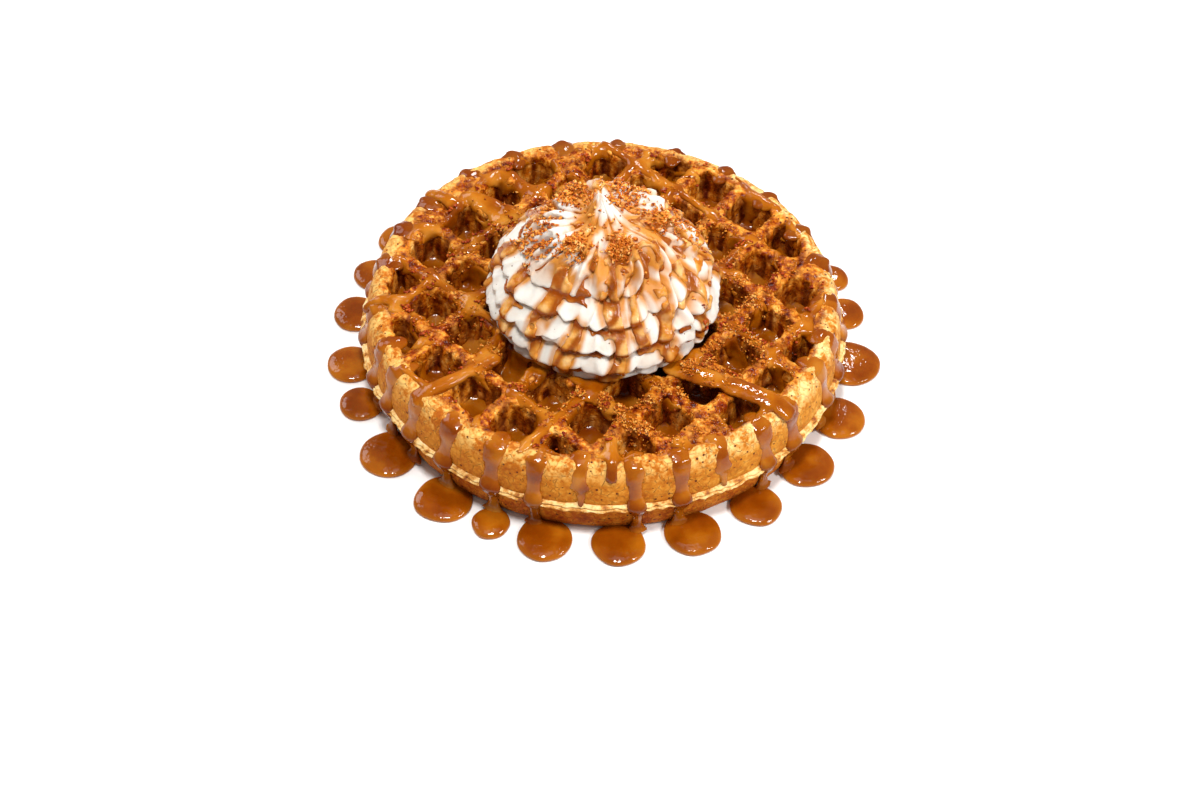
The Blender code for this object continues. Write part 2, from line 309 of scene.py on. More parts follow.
# %% The crust's material
def baked_batter():
    made, tree, shader = new_material(
        "toasted_waffle_crust", IOR=1.45, Specular_IOR_Level=0.18)
    place = add(tree, "TexCoord", output="Object")
    across, height = (add(tree, "SeparateXYZ", {"Vector": place}, axis) for axis in "XZ")
    soaked, shaded = (
        add(tree, "Attribute", output="Fac", attribute_name=name)
        for name in ("soaked", "shaded"))

    # Five noises by the size of their spots in millimetres. The streaks are drawn out downwards
    pulled = add(tree, "Mapping", {"Vector": place, "Scale": (1.0, 1.0, 0.16)})
    broad, fine, streaks, patches, crumb = (
        add(tree, "TexNoise", {
            "Vector": source, "Scale": per_mm(spots), "Detail": detail, "Roughness": rough})
        for source, spots, detail, rough in (
            (place, 8.0, 4.0, 0.6), (place, 1.8, 3.0, 0.6), (pulled, 4.0, 3.0, 0.5),
            (place, 5.0, 4.0, 0.62), (place, 0.8, 3.0, 0.6)))
    toast = add(tree, "Mix", {0: 0.52, 2: broad, 3: fine})

    # The wall is golden, paler in patches at the rim's edge and browner below the seam
    wall = add(tree, "ValToRGB", {"Fac": toast}, stops=[
        (0.32, "#a4560e"), (0.42, "#bd6f18"), (0.51, "#cf8626"), (0.60, "#df9c3e"),
        (0.70, "#f0ba66")])
    foot = add(tree, "ValToRGB", {"Fac": toast}, stops=[
        (0.33, "#8c3e08"), (0.43, "#b2580e"), (0.53, "#cc7818"), (0.66, "#e49e3e")])
    above = add(tree, "MapRange", {
        "Value": height, "From Min": SEAM_HEIGHT - 2 * MM, "From Max": SEAM_HEIGHT})
    wall = add(tree, "Mix", {0: above, 6: foot, 7: wall}, 2, data_type="RGBA")
    rim = add(tree, "MapRange", {
        "Value": height, "From Min": 27 * MM, "From Max": 32.5 * MM})
    patchy = add(tree, "MapRange", {"Value": toast, "From Min": 0.44, "From Max": 0.56})
    rim = add(tree, "Math", {0: rim, 1: patchy}, operation="MULTIPLY")

    # The crust at low X is multiplied to a darker, more orange tone, fading out from 20 to 60 mm
    darker_at_low_x = add(tree, "MapRange", {
        "Value": across, "From Min": 60 * MM, "From Max": 20 * MM})

    # The top has drunk sauce, and is streaked downwards where sauce ran over the walls of the
    # pockets. Deep in the pockets, and most of all in their corners, it is painted nearly black:
    # painted shade, led by the shaded mark
    walls = add(tree, "MapRange", {
        "Value": height, "From Min": 32.5 * MM, "From Max": 29 * MM, "To Max": 0.35})
    toast = add(tree, "Mix", {0: 0.35, 2: patches, 3: fine})
    toast = add(tree, "Mix", {0: walls, 2: toast, 3: streaks})
    ridge = add(tree, "ValToRGB", {"Fac": toast}, stops=[
        (0.36, "#4c0c02"), (0.43, "#842e04"), (0.50, "#b8620d"), (0.56, "#de8e2c"),
        (0.65, "#f8c068")])
    # Painted shade: this ramp is for deep in the pockets, and the shaded mark mixes it in
    deep = add(tree, "ValToRGB", {"Fac": toast}, stops=[
        (0.36, "#1e0200"), (0.46, "#3e0800"), (0.56, "#6e2203"), (0.70, "#b05e12")])
    top = add(tree, "Mix", {0: shaded, 6: ridge, 7: deep}, 2, data_type="RGBA")

    # Specks of vanilla and burnt sugar, up to a millimetre across, in four cells out of five
    cells, tint = (
        add(tree, "TexVoronoi", {"Vector": place, "Scale": per_mm(2.4)}, output)
        for output in ("Distance", "Color"))
    chance = add(tree, "SeparateColor", {"Color": tint}, "Red")
    size = add(tree, "MapRange", {
        "Value": chance, "From Min": 0.2, "To Min": 0.10, "To Max": 0.24})
    speck = add(tree, "Math", {0: size, 1: cells}, operation="SUBTRACT")
    speck = add(tree, "MapRange", {"Value": speck, "From Max": 0.05})
    some = add(tree, "Math", {0: chance, 1: 0.20}, operation="GREATER_THAN")
    speck = add(tree, "Math", {0: speck, 1: some}, operation="MULTIPLY")

    # Hairline cracks where the crust set before the crumb had risen
    bent = add(tree, "TexNoise", {"Vector": place, "Scale": per_mm(4.0)}, "Color")
    path = add(tree, "Mix", {0: 0.0022, 4: place, 5: bent}, 1, data_type="VECTOR")
    crack = add(tree, "TexVoronoi", {"Vector": path, "Scale": per_mm(3.4)},
                feature="DISTANCE_TO_EDGE")
    crack = add(tree, "MapRange", {"Value": crack, "From Min": 0.07, "From Max": 0.0})
    broken = add(tree, "MapRange", {"Value": fine, "From Min": 0.48, "From Max": 0.58})
    crack = add(tree, "Math", {0: crack, 1: broken}, operation="MULTIPLY")
    faint = add(tree, "Math", {0: crack, 1: 0.45}, operation="MULTIPLY")

    # The layers over the wall's gold: where each shows, its colour and how it mixes
    colour = wall
    for share, tone, blend in (
            (rim, "#f2cc86", "MIX"), (darker_at_low_x, "#f2e2c2", "MULTIPLY"), (soaked, top, "MIX"),
            (speck, "#56200a", "MIX"), (faint, "#7a3606", "MIX")):
        colour = add(tree, "Mix", {0: share, 6: colour, 7: tone}, 2, data_type="RGBA",
                     blend_type=blend)

    # Soaked crust is slick in patches, dry crust is not
    wet = add(tree, "MapRange", {"Value": patches, "From Min": 0.60, "From Max": 0.46})
    wet = add(tree, "Math", {0: soaked, 1: wet}, operation="MULTIPLY")
    rough = add(tree, "MapRange", {"Value": wet, "To Min": 0.75, "To Max": 0.15})

    # The relief is the crumb of the batter, in two sizes, with the cracks cut into it
    relief = add(tree, "Mix", {0: 0.45, 2: fine, 3: crumb})
    relief = add(tree, "Math", {0: relief, 1: crack}, operation="SUBTRACT")
    bump = add(tree, "Bump", {"Height": relief, "Strength": 0.7, "Distance": 0.7 * MM})
    connect(shader, {"Base Color": colour, "Roughness": rough, "Normal": bump})
    return made


BATTER = baked_batter()

# %% [markdown]
# ### Caramel sauce
# Sugar boiled to amber and thinned with cream. It is smooth enough to mirror the room, and light
# goes a little way in before it comes back, so a thick drop glows and a thin film over something
# pale looks tan. That is why there are four mixes: puddles, the sauce on the dark top, the thin
# runs on the golden wall, and the film on the cream, which is the palest. A mark on the mesh says
# where the sauce has pooled, and there it is deeper. The same mark also paints shade: in the
# pockets' corners, on the rim at the back and round the sugar on the cream.


# %% The sauce's material
def caramel(name, stops, depth, pooled_and_shaded=None, clouded=11.0, rippled=4.0, shine=0.36):
    """Sauce with its cloudy colours, how far light goes in, and the colour where it has pooled
    and where shade is painted on it.

    The clouds and the ripples are that many millimetres wide."""
    made, tree, shader = new_material(
        name, Roughness=0.07, IOR=1.48, Specular_IOR_Level=shine, Subsurface_Weight=0.18,
        Subsurface_Scale=depth, Subsurface_Radius=(1.0, 0.36, 0.08))
    place = add(tree, "TexCoord", output="Object")
    clouds = add(tree, "TexNoise", {
        "Vector": place, "Scale": per_mm(clouded), "Detail": 2.0, "Roughness": 0.45})
    colour = add(tree, "ValToRGB", {"Fac": clouds}, stops=stops)

    # A puddle thins out to a paler foot
    height = add(tree, "SeparateXYZ", {"Vector": place}, output="Z")
    thin = add(tree, "MapRange", {
        "Value": height, "From Min": 2.2 * MM, "From Max": 0.3 * MM, "To Max": 0.5})
    colour = add(tree, "Mix", {0: thin, 6: colour, 7: "#cc7c18"}, 2, data_type="RGBA")
    if pooled_and_shaded:
        deep = add(tree, "Attribute", attribute_name="pooled_and_shaded", output="Fac")
        colour = add(tree, "Mix", {0: deep, 6: colour, 7: pooled_and_shaded}, 2, data_type="RGBA")
    ripple = add(tree, "TexNoise", {
        "Vector": place, "Scale": per_mm(rippled), "Detail": 3.0, "Roughness": 0.45})
    bump = add(tree, "Bump", {"Height": ripple, "Strength": 0.6, "Distance": 0.8 * MM})
    connect(shader, {"Base Color": colour, "Normal": bump})
    return made


CARAMEL = caramel("caramel_syrup", [
    (0.32, "#773301"), (0.5, "#894103"), (0.68, "#a1590b")], 0.0012)
THIN_CARAMEL = caramel("caramel_syrup_over_crust", [
    (0.30, "#7e3802"), (0.43, "#944b03"), (0.55, "#a75d09"), (0.70, "#be7a26")], 0.0014,
    pooled_and_shaded="#5c1500", shine=0.30)
RUN_CARAMEL = caramel("caramel_syrup_down_the_wall", [
    (0.30, "#843c04"), (0.43, "#9b4f06"), (0.55, "#ae620f"), (0.70, "#c27a24")], 0.0010,
    pooled_and_shaded="#5e1a00", shine=0.27)
PALE_CARAMEL = caramel("caramel_syrup_over_cream", [
    (0.32, "#b4640f"), (0.5, "#cc8a3a"), (0.68, "#e2b676")], 0.0008, pooled_and_shaded="#8c3e02",
    clouded=5.0, rippled=1.8, shine=0.28)

# %% [markdown]
# ### Whipped cream
# A foam of fat and air. Light wanders far inside it, so its shadows stay pale and warm. Specks
# of vanilla lie in it, and sauce stains it amber where the mesh is marked so. Round the clumps of
# sugar the same mark also paints shadow.


# %% The cream's material
def whipped_cream():
    made, tree, shader = new_material(
        "whipped_dairy_cream", Roughness=0.5, IOR=1.40, Subsurface_Weight=0.35,
        Subsurface_Scale=0.0025, Subsurface_Radius=(1.0, 0.85, 0.65))
    place = add(tree, "TexCoord", output="Object")
    cells, tint = (
        add(tree, "TexVoronoi", {"Vector": place, "Scale": per_mm(3.4)}, output)
        for output in ("Distance", "Color"))
    chance = add(tree, "SeparateColor", {"Color": tint}, "Red")
    near = add(tree, "MapRange", {"Value": cells, "From Min": 0.10, "From Max": 0.06})
    some = add(tree, "Math", {0: chance, 1: 0.55}, operation="GREATER_THAN")
    speck = add(tree, "Math", {0: near, 1: some}, operation="MULTIPLY")
    stain_and_shadow = add(tree, "Attribute", attribute_name="stain_and_shadow", output="Fac")
    colour = "#ddd7cd"
    for share, tone in ((stain_and_shadow, "#c57f2a"), (speck, "#6a4a30")):
        colour = add(tree, "Mix", {0: share, 6: colour, 7: tone}, 2, data_type="RGBA")
    grain = add(tree, "TexNoise", {
        "Vector": place, "Scale": per_mm(0.9), "Detail": 3.0, "Roughness": 0.6})
    bump = add(tree, "Bump", {"Height": grain, "Strength": 0.35, "Distance": 0.3 * MM})
    connect(shader, {"Base Color": colour, "Normal": bump})
    return made


CREAM = whipped_cream()

# %% [markdown]
# ### Brown sugar and burnt sugar
# Damp granules of raw sugar. Each catches the light on its own, and their colour runs from straw
# to brown. Moist shreds are the brightest, and where sugar boiled over on the iron it turned a
# deep red-brown.


# %% The sugar's material
def sugar(name, stops, rough):
    made, tree, shader = new_material(
        name, Roughness=rough, IOR=1.50, Specular_IOR_Level=0.2, Subsurface_Weight=0.2,
        Subsurface_Scale=0.0006)
    place = add(tree, "TexCoord", output="Object")
    tint = add(tree, "TexVoronoi", {"Vector": place, "Scale": per_mm(1.2)}, "Color")
    chance = add(tree, "SeparateColor", {"Color": tint}, "Red")
    colour = add(tree, "ValToRGB", {"Fac": chance}, stops=stops)
    connect(shader, {"Base Color": colour})
    return made


SUGAR = sugar("raw_cane_sugar", [
    (0.0, "#7c2a03"), (0.25, "#a84e06"), (0.55, "#cc7014"), (0.85, "#e49434"),
    (1.0, "#f2b864")], 0.4)
BRIGHT_SUGAR = sugar("moist_cane_sugar_shreds", [
    (0.0, "#ac4e08"), (0.4, "#d0721a"), (0.8, "#ea9a3c"), (1.0, "#f6c478")], 0.35)
BURNT = sugar("burnt_sugar", [(0.0, "#6e1602"), (0.5, "#963408"), (1.0, "#b85412")], 0.35)

# %% [markdown]
# ## The waffle
# A blank is turned, one pocket cutter is modelled and copied over the grid, and the cutters are
# taken out of the blank. The result is sharp, like the iron. Melting it into an even skin rounds
# every edge as rising batter does, and gives enough points to push the crust in and out.

# %% The blank, turned from the foot up to the rim
blank = turned("waffle_blank", [
    (88.4, 0.0), (90.4, 1.8), (91.4, 6.0), (91.6, 14.0), (92.6, 16.0), (93.0, 17.6),
    (92.8, 22.0), (92.0, 28.0), (90.2, 32.0), (87.2, 34.0)], 180, MM)
print("blank", [round(v / MM, 1) for v in blank.dimensions])

# %% [markdown]
# The grid is nearly square. Two directions and one crossing of the ridges place every pocket. A
# pocket at the rim is kept when nearly a third of it lies inside.

# %% The grid
GRID_PITCH = 20.9 * MM
GRID_ANGLE = math.radians(50.6)
GRID_SKEW = math.radians(5.0)
GRID_CORNER = Vector((4.9 * MM, -3.6 * MM))
POCKET_MOUTH = 16.0 * MM
POCKET_FLOOR = 13.2 * MM
LEAST_INSIDE = 0.30
GRID_ALONG = polar(1.0, GRID_ANGLE + GRID_SKEW / 2).xy
GRID_ACROSS = polar(1.0, GRID_ANGLE - GRID_SKEW / 2).xy.orthogonal()


def grid_place(along, across):
    """The point of the grid that many pitches from its corner."""
    return GRID_CORNER + (GRID_ALONG * along + GRID_ACROSS * across) * GRID_PITCH


def grid_steps(place):
    """How many pitches along and across a point is: the inverse of grid_place."""
    offset = (place.xy - GRID_CORNER) / GRID_PITCH
    area = GRID_ALONG.x * GRID_ACROSS.y - GRID_ALONG.y * GRID_ACROSS.x
    along = (offset.x * GRID_ACROSS.y - offset.y * GRID_ACROSS.x) / area
    across = (GRID_ALONG.x * offset.y - GRID_ALONG.y * offset.x) / area
    return along, across


def share_inside(centre):
    """How much of a pocket lies inside the rim, tried at six by six points of its mouth."""
    tests = [(i + 0.5) / 6 - 0.5 for i in range(6)]
    inside = [
        (centre + (GRID_ALONG * u + GRID_ACROSS * v) * POCKET_MOUTH).length < INNER_RIM
        for u in tests for v in tests
    ]
    return sum(inside) / len(inside)


POCKETS = [
    (i + 0.5, j + 0.5) for i in range(-6, 6) for j in range(-6, 6)
    if share_inside(grid_place(i + 0.5, j + 0.5)) > LEAST_INSIDE
]
print("pockets", len(POCKETS))

# %% [markdown]
# The cutter is a cube whose lower face is drawn in for the draft and whose upright edges are
# bevelled.


# %% A pocket cutter
CORNER_ROUND = 2.2 * MM


def pocket_cutter(name, floor, low, high, flip=False):
    """A tapered block that is POCKET_MOUTH wide at one end and floor wide at the other."""
    cutter = primitive(name, bpy.ops.mesh.primitive_cube_add, size=1)
    cutter.scale = (POCKET_MOUTH, POCKET_MOUTH, high - low)
    bpy.ops.object.transform_apply(location=False, rotation=False, scale=True)
    edit(cutter, "FACE", lambda face: face.normal.z < -0.5)
    narrow = floor / POCKET_MOUTH
    bpy.ops.transform.resize(value=(narrow, narrow, 1))
    bpy.ops.object.mode_set(mode="OBJECT")
    heights = [vertex.co.z for vertex in cutter.data.vertices]
    edit(cutter, "EDGE", lambda edge: heights[edge.vertices[0]] * heights[edge.vertices[1]] < 0)
    bpy.ops.mesh.bevel(offset=CORNER_ROUND, segments=3, affect="EDGES")
    bpy.ops.object.mode_set(mode="OBJECT")
    turn = Matrix.Rotation(math.pi, 4, "X") if flip else Matrix.Identity(4)
    cutter.data.transform(Matrix.Translation((0, 0, (low + high) / 2)) @ turn)
    return cutter


def on_grid(along, across):
    """The matrix that sets a piece from straight axes onto the grid at a place."""
    centre = grid_place(along, across)
    return Matrix((
        (GRID_ALONG.x, GRID_ACROSS.x, 0, centre.x),
        (GRID_ALONG.y, GRID_ACROSS.y, 0, centre.y),
        (0, 0, 1, 0), (0, 0, 0, 1)))


def fill_grid(name, cutter, plug_rows, lifts=(0.0,) * len(POCKETS)):
    """Copies a cutter to every pocket, lifts each copy and keeps what is inside the rim."""
    copies = [
        copy_of(cutter, Matrix.Translation((0, 0, lift)) @ on_grid(*pocket))
        for pocket, lift in zip(POCKETS, lifts)]
    remove(cutter)
    filled = join(name, copies)
    plug = turned("rim_plug", plug_rows, 120)
    apply_modifier(filled, "BOOLEAN", operation="INTERSECT", solver="EXACT", object=plug)
    remove(plug)
    return filled


# %% Cut the pockets of both faces
upper_cutter = pocket_cutter("upper_cutter", POCKET_FLOOR, 17.5 * MM, WAFFLE_HEIGHT + 2 * MM)
upper_pockets = fill_grid("upper_pockets", upper_cutter, [
    (INNER_RIM - 1.6 * MM, 17 * MM), (INNER_RIM, 37 * MM)])
lower_cutter = pocket_cutter("lower_cutter", POCKET_FLOOR, -1 * MM, 8.5 * MM, flip=True)
lower_pockets = fill_grid("lower_pockets", lower_cutter, [
    (INNER_RIM, -2 * MM), (INNER_RIM - 1.4 * MM, 9 * MM)])
for cutter in (upper_pockets, lower_pockets):
    apply_modifier(blank, "BOOLEAN", operation="DIFFERENCE", solver="EXACT", object=cutter)
remove(upper_pockets, lower_pockets)
print("cut blank", triangles(blank), "triangles")

# %% [markdown]
# The two halves of the iron meet at a seam, so the waffle is split there. The halves overlap by a
# millimetre, so that no gap shows. The upper half gets the finer skin, because it is what one
# looks at.


# %% Split the blank at the seam
def half_of(piece, name, height, keep_upper):
    """Cuts a copy along a level plane and closes the cut."""
    half = copy_of(piece)
    half.name = name
    choose(half)
    bpy.ops.object.mode_set(mode="EDIT")
    bpy.ops.mesh.select_all(action="SELECT")
    bpy.ops.mesh.bisect(plane_co=(0, 0, height), plane_no=(0, 0, 1), use_fill=True,
                        clear_inner=keep_upper, clear_outer=not keep_upper)
    bpy.ops.object.mode_set(mode="OBJECT")
    return half


SPLIT, OVERLAP = 14.5 * MM, 1 * MM
upper_half = half_of(blank, "waffle_upper_half", SPLIT, True)
lower_half = half_of(blank, "waffle_lower_half", SPLIT + OVERLAP, False)
remove(blank)
melt(upper_half, 1.15 * MM, 1)
melt(lower_half, 1.4 * MM, 2)

# %% [markdown]
# Sauce runs down the wall where the batter left grooves, so the wall swells into a pillow between
# each run and the next. The bearings of the runs are read once here and used for both. Batter
# also rises unevenly: ribs stand on the walls of the pockets, and the ridges are lumpy.

# %% The runs of sauce, and the pillows between them
RUN_BEARINGS = (
    0, 15, 27, 42, 57, 72, 88, 103, 117, 131, 146, 158, 171, 187, 201, 210, 220.5,
    232, 245, 255.5, 266, 279, 289.5, 300, 312.5, 321.5, 337.5, 347,
)


def pillow(bearing):
    """0 in the groove under a run, 1 in the middle between two."""
    turn = math.degrees(bearing) % 360
    before = max((b for b in RUN_BEARINGS if b <= turn), default=RUN_BEARINGS[-1] - 360)
    after = min((b for b in RUN_BEARINGS if b > turn), default=RUN_BEARINGS[0] + 360)
    share = (turn - before) / (after - before)
    return math.sin(math.pi * share) ** 0.28


def column(place):
    """Upright ribs down the walls of the pockets, above 0 on a rib and below 0 between two."""
    in_pocket = ease(17 * MM, 20 * MM, place.z) * (1 - 0.7 * ease(32 * MM, 34.5 * MM, place.z))
    return bumps(Vector((place.x, place.y, place.z * 0.12)), 2.9) * in_pocket


def rise(place, normal):
    """How the crust rose: pillows on the wall, ribs in the pockets, lumps on the ridges."""
    on_wall = ease(87 * MM, 91 * MM, place.xy.length)
    bearing = math.atan2(place.y, place.x)
    above_seam = ease(13 * MM, 19 * MM, place.z)
    swell = -2.1 * MM * (1 - pillow(bearing)) * on_wall * (0.45 + 0.55 * above_seam)
    lumps = bumps(place, 4.0) * 0.6 * MM
    grit = bumps(place, 1.9) * 0.38 * MM
    lumps += column(place) * 1.1 * MM * (1 - on_wall)
    crest = ease(28 * MM, 34 * MM, place.z)
    calm = (1 - 0.55 * on_wall) * (0.7 + 0.5 * crest)
    tall = Vector((0, 0, bumps(place, 7) * 1.3 * MM * crest))
    resting = ease(0.3 * MM, 2.5 * MM, place.z)
    return (normal * (lumps + grit) * calm + polar(swell, bearing) + tall) * resting


for half in (upper_half, lower_half):
    push(half, rise)


# %% Marks for the material: how soaked and how shaded each point is
def corner_closeness(place):
    """1 in the upright corners of a pocket, 0 in the middle of its walls and on the ridges."""
    along, across = grid_steps(place)
    from_ridge = [abs(step - round(step)) for step in (along, across)]
    return 1 - ease(0.18, 0.30, max(from_ridge))


def mark_crust(half):
    """Marks how far each point has soaked up sauce and how deep in shade it lies."""
    soaked, shaded = [], []
    for vertex in half.data.vertices:
        place = vertex.co
        rim = place.xy.length + bumps(place, 5) * 1.6 * MM
        wet = 1 - ease(INNER_RIM + 0.2 * MM, INNER_RIM + 2.6 * MM, rim)
        soaked.append(wet * ease(15 * MM, 18 * MM, place.z))
        # Painted shade: darker deeper in a pocket, in its corners, and between the ribs of its
        # walls
        depth = 1 - ease(20 * MM, 31 * MM, place.z)
        between_ribs_shade = 1 - ease(-0.30, 0.15, column(place))
        shade = depth * (0.12 + 0.85 * corner_closeness(place)) + 0.75 * between_ribs_shade * wet
        shaded.append(min(1.0, shade))
    mark(half, "soaked", soaked)
    mark(half, "shaded", shaded)


for half in (upper_half, lower_half):
    mark_crust(half)
    finish(half, BATTER, "baked_batter", "waffle")

# %% [markdown]
# Where the iron closed, a thin flash of batter squeezed out and baked crisp and pale. Its edge is
# torn, so it is a thin turned ring whose radius is shaken by noise.

# %% The seam's flash
seam = turned("waffle_seam", [
    (89.0, 14.9), (93.4, 15.2), (95.0, 15.4), (95.1, 15.7), (94.2, 15.9), (93.2, 16.0),
    (94.3, 16.4), (94.1, 16.7), (92.6, 16.9), (90.0, 17.4)], 540, MM)


def torn(place, normal):
    """A ragged edge: points near the outside move in, out, up and down."""
    outer = ease(91 * MM, 94.5 * MM, place.xy.length)
    flat = Vector((place.x, place.y, 0))
    size = bumps(flat, 3.0) * 0.9 + bumps(flat, 1.1) * 0.4
    lift = bumps(flat + Vector((0, 0, 5 * MM)), 7.0) * 0.5
    return polar(size * outer * MM, math.atan2(place.y, place.x), lift * outer * MM)


push(seam, torn)


# %% The flash's material
def crisp_flash():
    made, tree, shader = new_material("crisp_batter_flash", Roughness=0.7, IOR=1.45)
    place = add(tree, "TexCoord", output="Object")
    blotch = add(tree, "TexNoise", {
        "Vector": place, "Scale": per_mm(4.0), "Detail": 4.0, "Roughness": 0.65})
    colour = add(tree, "ValToRGB", {"Fac": blotch}, stops=[
        (0.34, "#8a4208"), (0.44, "#c8852e"), (0.54, "#ecc27a"), (0.72, "#f8dfa8")])
    bump = add(tree, "Bump", {"Height": blotch, "Strength": 0.6, "Distance": 0.4 * MM})
    connect(shader, {"Base Color": colour, "Normal": bump})
    return made


finish(seam, crisp_flash(), "baked_batter", "waffle")

# %% [markdown]
# ## Sauce on the waffle
# Poured sauce collects in the pockets, clings to their corners and lies along the ridges. It is
# built from simple bodies: a slab in each pocket, columns in corners, strands along ridges, a
# drop on each crossing, and a film where the crust is coated. Melted together they flow into each
# other with round fillets.


# %% A drop and a strand of sauce
def drop(name):
    return primitive(
        name, bpy.ops.mesh.primitive_uv_sphere_add, segments=16, ring_count=10, radius=1.0)


def strand_shape():
    """A drop pulled out along X: its ends are round and its middle is straight."""
    made = drop("strand")
    made.data.transform(Matrix.Rotation(math.pi / 2, 4, "Y"))
    for vertex in made.data.vertices:
        if abs(vertex.co.x) > 0.01:
            vertex.co.x += math.copysign(1.0, vertex.co.x)
    return made


DROP = drop("drop_of_sauce")
STRAND = strand_shape()


def laid(shape, start, end, wide, thick):
    """A strand from one point to another, that wide across and that thick upwards."""
    middle = (start + end) / 2
    along = (end - start).normalized()
    upward = Vector((0, 0, 1)) if abs(along.z) < 0.8 else Vector((0, 1, 0))
    side = along.cross(upward).normalized()
    upward = side.cross(along).normalized()
    reach = max((end - start).length / 4, 0.5 * MM)
    turn = Matrix((along * reach, side * wide / 2, upward * thick / 2)).transposed().to_4x4()
    return copy_of(shape, Matrix.Translation(middle) @ turn)


# %% Pools in the pockets. Their middle lies lower than the edge, where sauce climbs the crust
POOL_EDGE, POOL_DIP = 1.7 * MM, 1.4 * MM
draw = random.Random(11)
pool_cutter = pocket_cutter("pool", POCKET_FLOOR + 1.6 * MM, 16.6 * MM, POOL_LEVEL + 2.2 * MM)
edit(pool_cutter, "FACE", lambda face: face.normal.z > 0.5)
bpy.ops.mesh.inset(thickness=POOL_EDGE)
bpy.ops.transform.translate(value=(0, 0, -POOL_DIP))
bpy.ops.mesh.select_all(action="DESELECT")
bpy.ops.object.mode_set(mode="OBJECT")
sauce = fill_grid(
    "caramel_on_top", pool_cutter,
    [(INNER_RIM - 1 * MM, 15 * MM), (INNER_RIM - 1 * MM, 24 * MM)],
    [draw.uniform(-0.6, 0.9) * MM for _ in POCKETS])
print("pools", triangles(sauce), "triangles")

# %% Columns in the corners, each with a drop at its foot
# Which way the corner lies, how often sauce hangs there, and how wide. The far one is the fullest
CORNERS = (
    (1, 1, 0.95, 3.8, 5.2), (-1, -1, 0.30, 3.8, 5.2), (1, -1, 0.40, 2.8, 3.6),
    (-1, 1, 0.40, 2.8, 3.6),
)
parts = [sauce]
for pocket in POCKETS:
    centre = grid_place(*pocket)
    for u, v, chance, narrowest, widest in CORNERS:
        out = (GRID_ALONG * u + GRID_ACROSS * v) * POCKET_MOUTH / 2
        if (centre + out).length > INNER_RIM or draw.random() > chance:
            continue
        wide = draw.uniform(narrowest, widest) * MM
        thick = draw.uniform(3.0, 3.8) * MM
        top = Vector((*(centre + out * 1.05), 33.6 * MM))
        foot = Vector((*(centre + out * 0.86), 18.0 * MM))
        parts.append(laid(STRAND, foot, top, wide, thick))
        parts.append(placed(DROP, foot, (wide * 0.62, wide * 0.62, 2.2 * MM)))
print("columns", len(parts) // 2)

# %% Strands along the ridges, fewer where sugar covers them and none under the cream
CREAM_CENTRE = Vector((-0.5 * MM, -4.0 * MM))
UNDER_CREAM = 36.0 * MM
on_ridges = set()
for i in range(-5, 6):
    for j in range(-5, 6):
        for di, dj in ((1, 0), (0, 1)):
            start, end = grid_place(i, j), grid_place(i + di, j + dj)
            middle = (start + end) / 2
            if max(start.length, end.length) > RIM_RADIUS + 4 * MM:
                continue
            if (middle - CREAM_CENTRE).length < UNDER_CREAM:
                continue
            sugared = ease(10 * MM, 40 * MM, middle.x) * ease(-62 * MM, -40 * MM, middle.y)
            if draw.random() > 0.42 - 0.20 * sugared:
                continue
            wide = draw.uniform(3.2, 5.0) * MM
            top = WAFFLE_HEIGHT - 0.4 * MM
            parts.append(laid(STRAND, Vector((*start, top)), Vector((*end, top)), wide, 2.7 * MM))
            on_ridges.update(((i, j), (i + di, j + dj)))
for i, j in sorted(on_ridges):
    place = grid_place(i, j)
    if place.length < INNER_RIM - 4 * MM:
        size = draw.uniform(2.8, 4.0) * MM
        parts.append(placed(DROP, (*place, WAFFLE_HEIGHT - 0.5 * MM), (size, size, 1.7 * MM)))
print("crossings with sauce", len(on_ridges))

# Thick pours that cross the ridges at their own angle, most of them over the rim: the width of
# each and the points it goes through, in millimetres
POURS = (
    (9.6, ((22, -37, 34.6), (44, -46.5, 35.8), (64, -55, 35.8), (71.5, -58, 31.0))),
    (6.4, ((-38, -36, 34.2), (-50, -46, 35.0), (-63, -55, 34.8), (-69, -59, 31.0))),
    (6.0, ((-28, 37, 34.4), (-42, 45, 35.0), (-56, 52, 34.6))),
    (7.0, ((-58, 43, 34.2), (-66, 50, 35.0), (-73, 55, 31.5))),
    (5.4, ((-74, -8, 34.2), (-83, -9, 34.8), (-88, -9.5, 34.0), (-91.6, -10, 29.0))),
    (5.4, ((4, -74, 34.2), (5, -83, 34.8), (5, -88, 34.0), (5, -91.6, 29.0))),
)
for wide, points in POURS:
    corners = [Vector(point) * MM for point in points]
    for start, end in zip(corners, corners[1:]):
        parts.append(laid(STRAND, start, end + (end - start) * 0.12, wide * MM, 3.6 * MM))


# %% The film on the crust
def coated(place):
    """1 where sauce clings to the ridges or, in fewer places, to the walls of the pockets."""
    if place.z < 21 * MM or place.xy.length > INNER_RIM + 3 * MM:
        return 0.0
    patch = bumps(place, 9) + 0.35 * bumps(place, 3)
    return 1.0 if patch > 0.16 + 0.12 * (1 - ease(24 * MM, 33 * MM, place.z)) else 0.0


mark(upper_half, "sauce", [coated(vertex.co) for vertex in upper_half.data.vertices])
parts.append(film("film_on_crust", upper_half, 1.6 * MM))
sauce = join("caramel_on_top", parts)
melt(sauce, 1.1 * MM, 3)
push(sauce, lambda place, normal: normal * bumps(place, 5) * 0.35 * MM)

